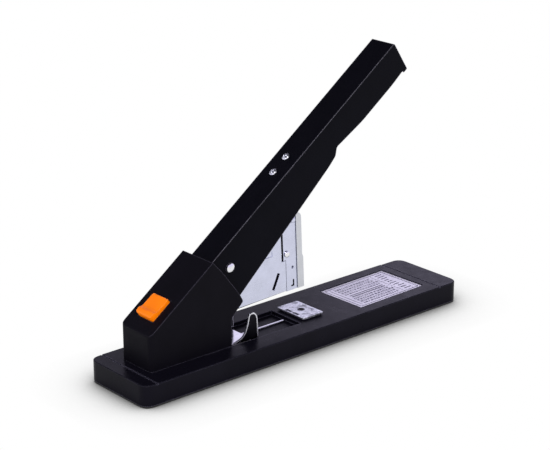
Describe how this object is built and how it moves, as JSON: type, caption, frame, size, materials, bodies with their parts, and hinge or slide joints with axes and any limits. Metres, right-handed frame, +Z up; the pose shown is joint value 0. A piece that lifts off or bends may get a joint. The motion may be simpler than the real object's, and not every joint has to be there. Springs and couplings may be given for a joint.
{
  "type": "heavy-duty stapler",
  "caption": "Long-lever heavy-duty desktop stapler: flat base with anvil, sliding paper stop, hinged press lever, sprung staple head with pull-out magazine and orange release button.",
  "frame": {"origin": "middle of the underside of the base, on the surface it stands on", "axes": "+X along the base towards its front (label) end, +Y across the base, +Z up"},
  "size_m": [0.29, 0.062, 0.2002],
  "materials": {
    "lever_paint": "satin black powder coat",
    "cover_paint": "satin black powder coat",
    "base_paint": "semi-gloss black paint",
    "black_plastic": "fine moulded texture",
    "rubber": "matt non-slip rubber",
    "zinc_sheet": "zinc-plated pressed sheet",
    "chrome_sheet": "bright nickel or chrome plating",
    "steel": "plain steel",
    "spring_steel": "drawn spring wire",
    "staple_wire": "galvanised staple wire",
    "orange_plastic": "smooth moulded plastic",
    "label_foil": "printed silver foil sticker"
  },
  "bodies": {
    "root": {"base_cover": "base_paint", "base_plate": "steel", "rubber_sole": "rubber", "base_screw_1": "steel", "base_screw_2": "steel", "base_screw_3": "steel", "base_screw_4": "steel", "capacity_label": "label_foil", "anvil_seat": "black_plastic", "anvil_plate": "zinc_sheet", "anvil_screw": "steel", "guide_strip": "chrome_sheet", "frame_bracket": "steel", "pivot_pin": "chrome_sheet", "head_pivot_pin": "steel", "lever_spring": "spring_steel", "head_lift_spring": "spring_steel", "rear_cover": "cover_paint"},
    "stop": {"paper_stop": "chrome_sheet"},
    "lever": {"lever_channel": "lever_paint", "grip_insert": "black_plastic", "presser_bracket": "steel", "presser_screw_rear": "chrome_sheet", "presser_screw_front": "chrome_sheet", "roller_pin": "steel"},
    "roller": {"presser_roller": "steel"},
    "head": {"magazine_channel": "steel", "head_arm": "zinc_sheet", "driver_housing": "zinc_sheet", "front_cover": "zinc_sheet", "head_bolt": "chrome_sheet", "top_rivet_near": "zinc_sheet", "top_rivet_far": "zinc_sheet", "driver_spring": "spring_steel", "latch_pin": "steel"},
    "drawer": {"magazine_rail": "steel", "staple_stick": "staple_wire", "pusher_rod": "steel", "pusher_spring": "spring_steel"},
    "feeder": {"pusher": "steel"},
    "driver": {"driver_blade": "steel", "driver_cap": "steel"},
    "button": {"release_button": "orange_plastic"},
    "latch": {"release_latch": "steel"}
  },
  "joints": [
    {"name": "lever_hinge", "type": "hinge", "parent": "root", "child": "lever", "pos_m": [-0.0576, 0, 0.0708], "axis": [0, 1, 0], "range_deg": [0, 36.7], "stiffness_Nm_per_rad": 0.3, "springref_deg": -126.05},
    {"name": "head_hinge", "type": "hinge", "parent": "root", "child": "head", "pos_m": [-0.11301, 0, 0.02502], "axis": [0, 1, 0], "range_deg": [0, 10.1], "stiffness_Nm_per_rad": 0.4, "springref_deg": -40.11, "deforming": ["head_lift_spring"]},
    {"name": "driver_slide", "type": "slide", "parent": "head", "child": "driver", "axis": [0.0436, 0, -0.999], "range_m": [0, 0.0196], "stiffness_N_per_m": 150, "springref_m": -0.01, "deforming": ["driver_spring"]},
    {"name": "roller_spin", "type": "hinge", "parent": "lever", "child": "roller", "pos_m": [-0.00195, 0, 0.09868], "axis": [0, 1, 0], "continuous": true},
    {"name": "drawer_slide", "type": "slide", "parent": "head", "child": "drawer", "axis": [-0.999, 0, -0.0436], "range_m": [-0.045, 0]},
    {"name": "pusher_slide", "type": "slide", "parent": "drawer", "child": "feeder", "axis": [0.999, 0, 0.0436], "range_m": [-0.03, 0], "stiffness_N_per_m": 50, "springref_m": 0.03, "deforming": ["pusher_spring"]},
    {"name": "button_press", "type": "slide", "parent": "root", "child": "button", "axis": [0.5699, 0, -0.8217], "range_m": [0, 0.003], "stiffness_N_per_m": 500, "springref_m": -0.002},
    {"name": "latch_hinge", "type": "hinge", "parent": "head", "child": "latch", "pos_m": [-0.10044, 0, 0.04889], "axis": [0, 1, 0], "range_deg": [-11.6, 0]},
    {"name": "stop_slide", "type": "slide", "parent": "root", "child": "stop", "axis": [1, 0, 0], "range_m": [-0.02, 0.025]}
  ],
  "couplings": [
    {"joint": "head_hinge", "follows": "lever_hinge", "ratio": 0.2752},
    {"joint": "driver_slide", "follows": "lever_hinge", "m_per_rad": 0.030599},
    {"joint": "latch_hinge", "follows": "button_press", "rad_per_m": -66.667}
  ]
}
